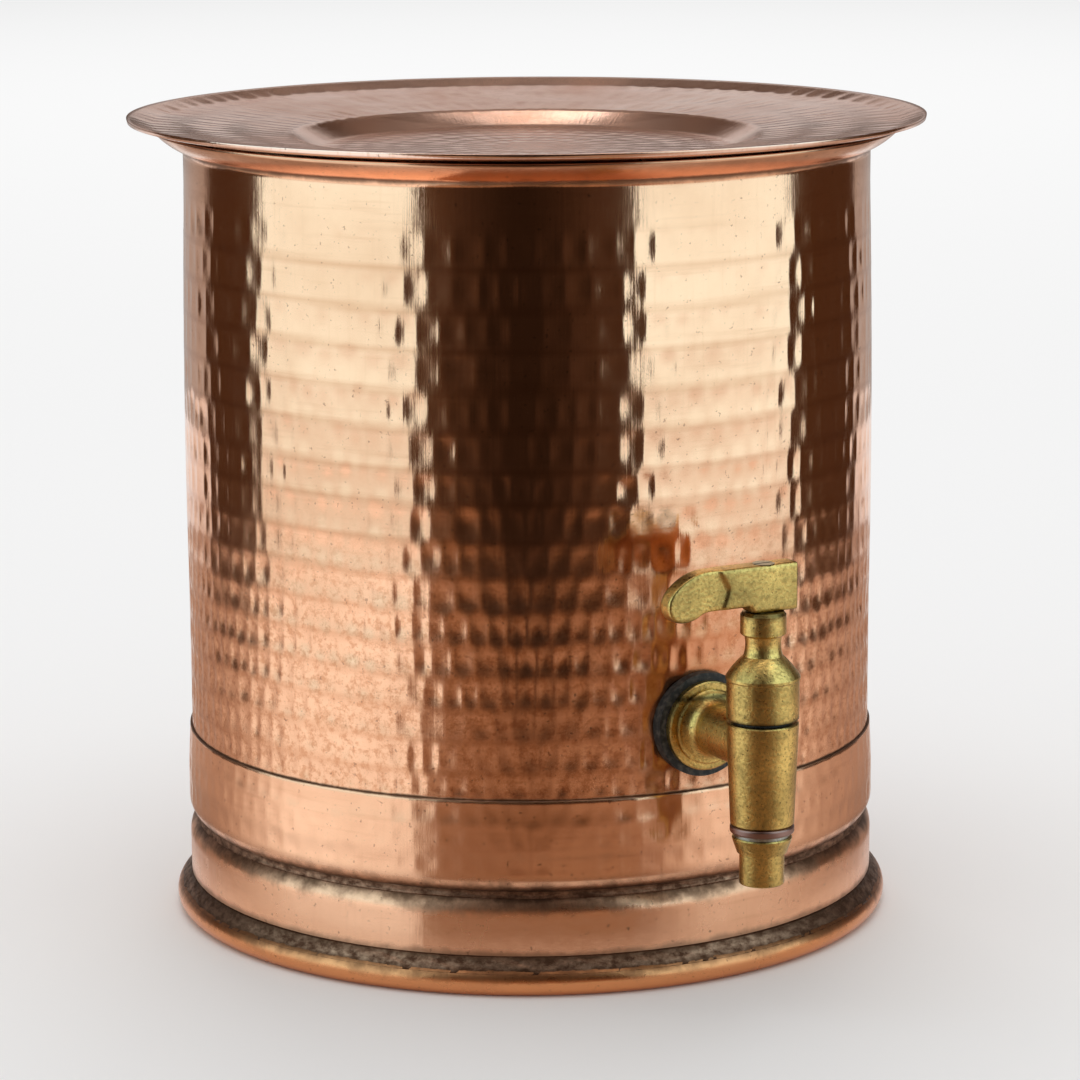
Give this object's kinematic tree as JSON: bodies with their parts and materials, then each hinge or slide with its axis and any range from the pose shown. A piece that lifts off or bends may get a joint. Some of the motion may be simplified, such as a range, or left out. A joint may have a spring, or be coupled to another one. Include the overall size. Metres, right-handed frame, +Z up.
{
  "type": "copper water dispenser",
  "caption": "Cylindrical hammered copper water dispenser with a stand ring, a lift-off plate lid and a brass quarter-turn lever tap.",
  "frame": {"origin": "on the vessel's axis, in the plane of the worn flat under the foot bead, on which the vessel stands", "axes": "+Z up along the vessel's axis; the tap stands out along -Y; +X completes the right-handed frame, to the right of someone facing the tap"},
  "size_m": [0.2776, 0.3109, 0.2814],
  "materials": {
    "hammered_copper": "hand-hammered copper, satin with soft patina",
    "smooth_copper": "satin copper, lightly brushed",
    "lid_copper": "hand-hammered copper, satin",
    "washer_copper": "tarnished copper",
    "tap_brass": "aged cast brass, satin and speckled",
    "solder": "dull grey soft solder, rough",
    "steel_wire": "drawn wire",
    "screw_steel": "plain steel, dull",
    "seal_rubber": "matt black rubber"
  },
  "bodies": {
    "vessel": {"body_shell": "hammered_copper", "base_pan": "hammered_copper", "inner_seam_solder": "solder", "stand_ring": "smooth_copper", "upper_solder": "solder", "foot_bead": "smooth_copper", "foot_wire": "steel_wire", "lower_solder": "solder", "tap_body": "tap_brass", "outer_washer": "seal_rubber", "inner_washer": "seal_rubber", "backing_washer": "tap_brass", "back_nut": "tap_brass"},
    "tap_plug": {"plug": "tap_brass", "plug_seal": "seal_rubber", "lever": "tap_brass", "lever_screw": "screw_steel", "nozzle": "tap_brass", "spring_washer": "screw_steel", "copper_washer": "washer_copper"},
    "lid": {"lid_dish": "lid_copper", "lid_collar": "smooth_copper"}
  },
  "joints": [
    {"name": "tap_turn", "type": "hinge", "parent": "vessel", "child": "tap_plug", "pos_m": [0, -0.16, 0.089], "axis": [0, 0, 1], "range_deg": [0, 90]},
    {"name": "lid_lift", "type": "slide", "parent": "vessel", "child": "lid", "axis": [0, 0, 1], "range_m": [0, 0.06]}
  ]
}
